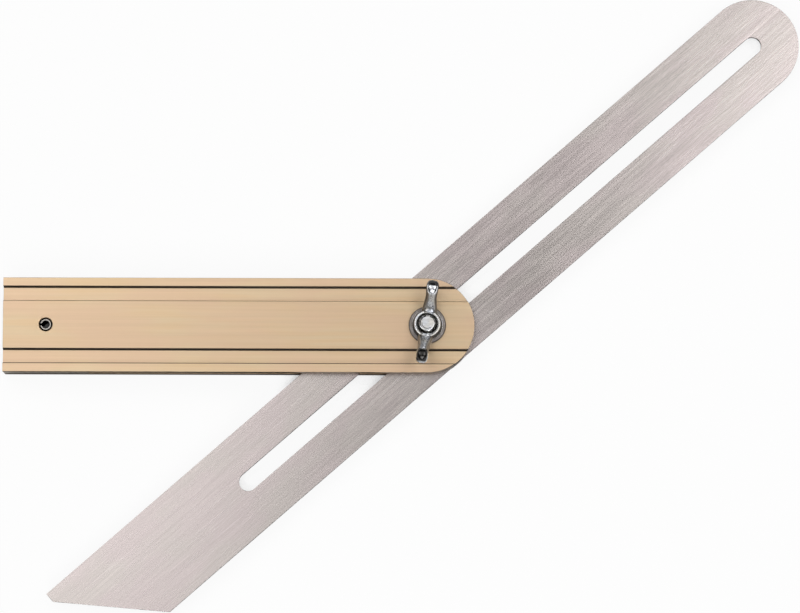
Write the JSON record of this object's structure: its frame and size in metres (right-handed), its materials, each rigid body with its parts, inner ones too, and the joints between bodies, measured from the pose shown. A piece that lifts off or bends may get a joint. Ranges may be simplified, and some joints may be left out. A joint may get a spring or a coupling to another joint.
{
  "type": "sliding bevel",
  "caption": "Sliding bevel: a slotted steel blade swings and slides between the channelled aluminium cheeks of its stock, clamped by a wing nut.",
  "frame": {"origin": "where the clamp bolt's axis meets the stock's flat rear face", "axes": "+X from the butt end along the stock towards the bolt's end, +Y across the stock, +Z along the bolt towards the wing nut"},
  "size_m": [0.2538, 0.1968, 0.0257],
  "materials": {
    "gold_aluminium": "champagne gold anodised, brushed lengthwise",
    "plain_aluminium": "mill finish",
    "spring_steel": "dark, oiled",
    "stainless_blade": "ground lengthwise",
    "bright_zinc": "bright plated",
    "dull_zinc": "dull plated"
  },
  "bodies": {
    "stock": {"front_cheek": "gold_aluminium", "rear_cheek": "gold_aluminium", "butt_spacer": "plain_aluminium", "spring_pin": "spring_steel"},
    "clamp": {"clamp_bolt": "bright_zinc"},
    "blade": {"blade": "stainless_blade"},
    "washer": {"washer": "dull_zinc"},
    "nut": {"wing_nut": "bright_zinc"}
  },
  "joints": [
    {"name": "blade_swing", "type": "hinge", "parent": "stock", "child": "clamp", "pos_m": [0, 0, 0.00555], "axis": [0, 0, 1], "range_deg": [-24.7, 122.2]},
    {"name": "blade_slide", "type": "slide", "parent": "clamp", "child": "blade", "axis": [0.753, 0.658, 0], "range_m": [-0.1369, 0.0745]},
    {"name": "nut_lift", "type": "slide", "parent": "clamp", "child": "washer", "axis": [0, 0, 1], "range_m": [0, 0.0016]},
    {"name": "nut_turn", "type": "hinge", "parent": "washer", "child": "nut", "pos_m": [0, 0, 0.0127], "axis": [0, 0, 1], "range_deg": [0, 720]}
  ],
  "couplings": [
    {"joint": "nut_lift", "follows": "nut_turn", "m_per_rad": 0.00012732}
  ]
}
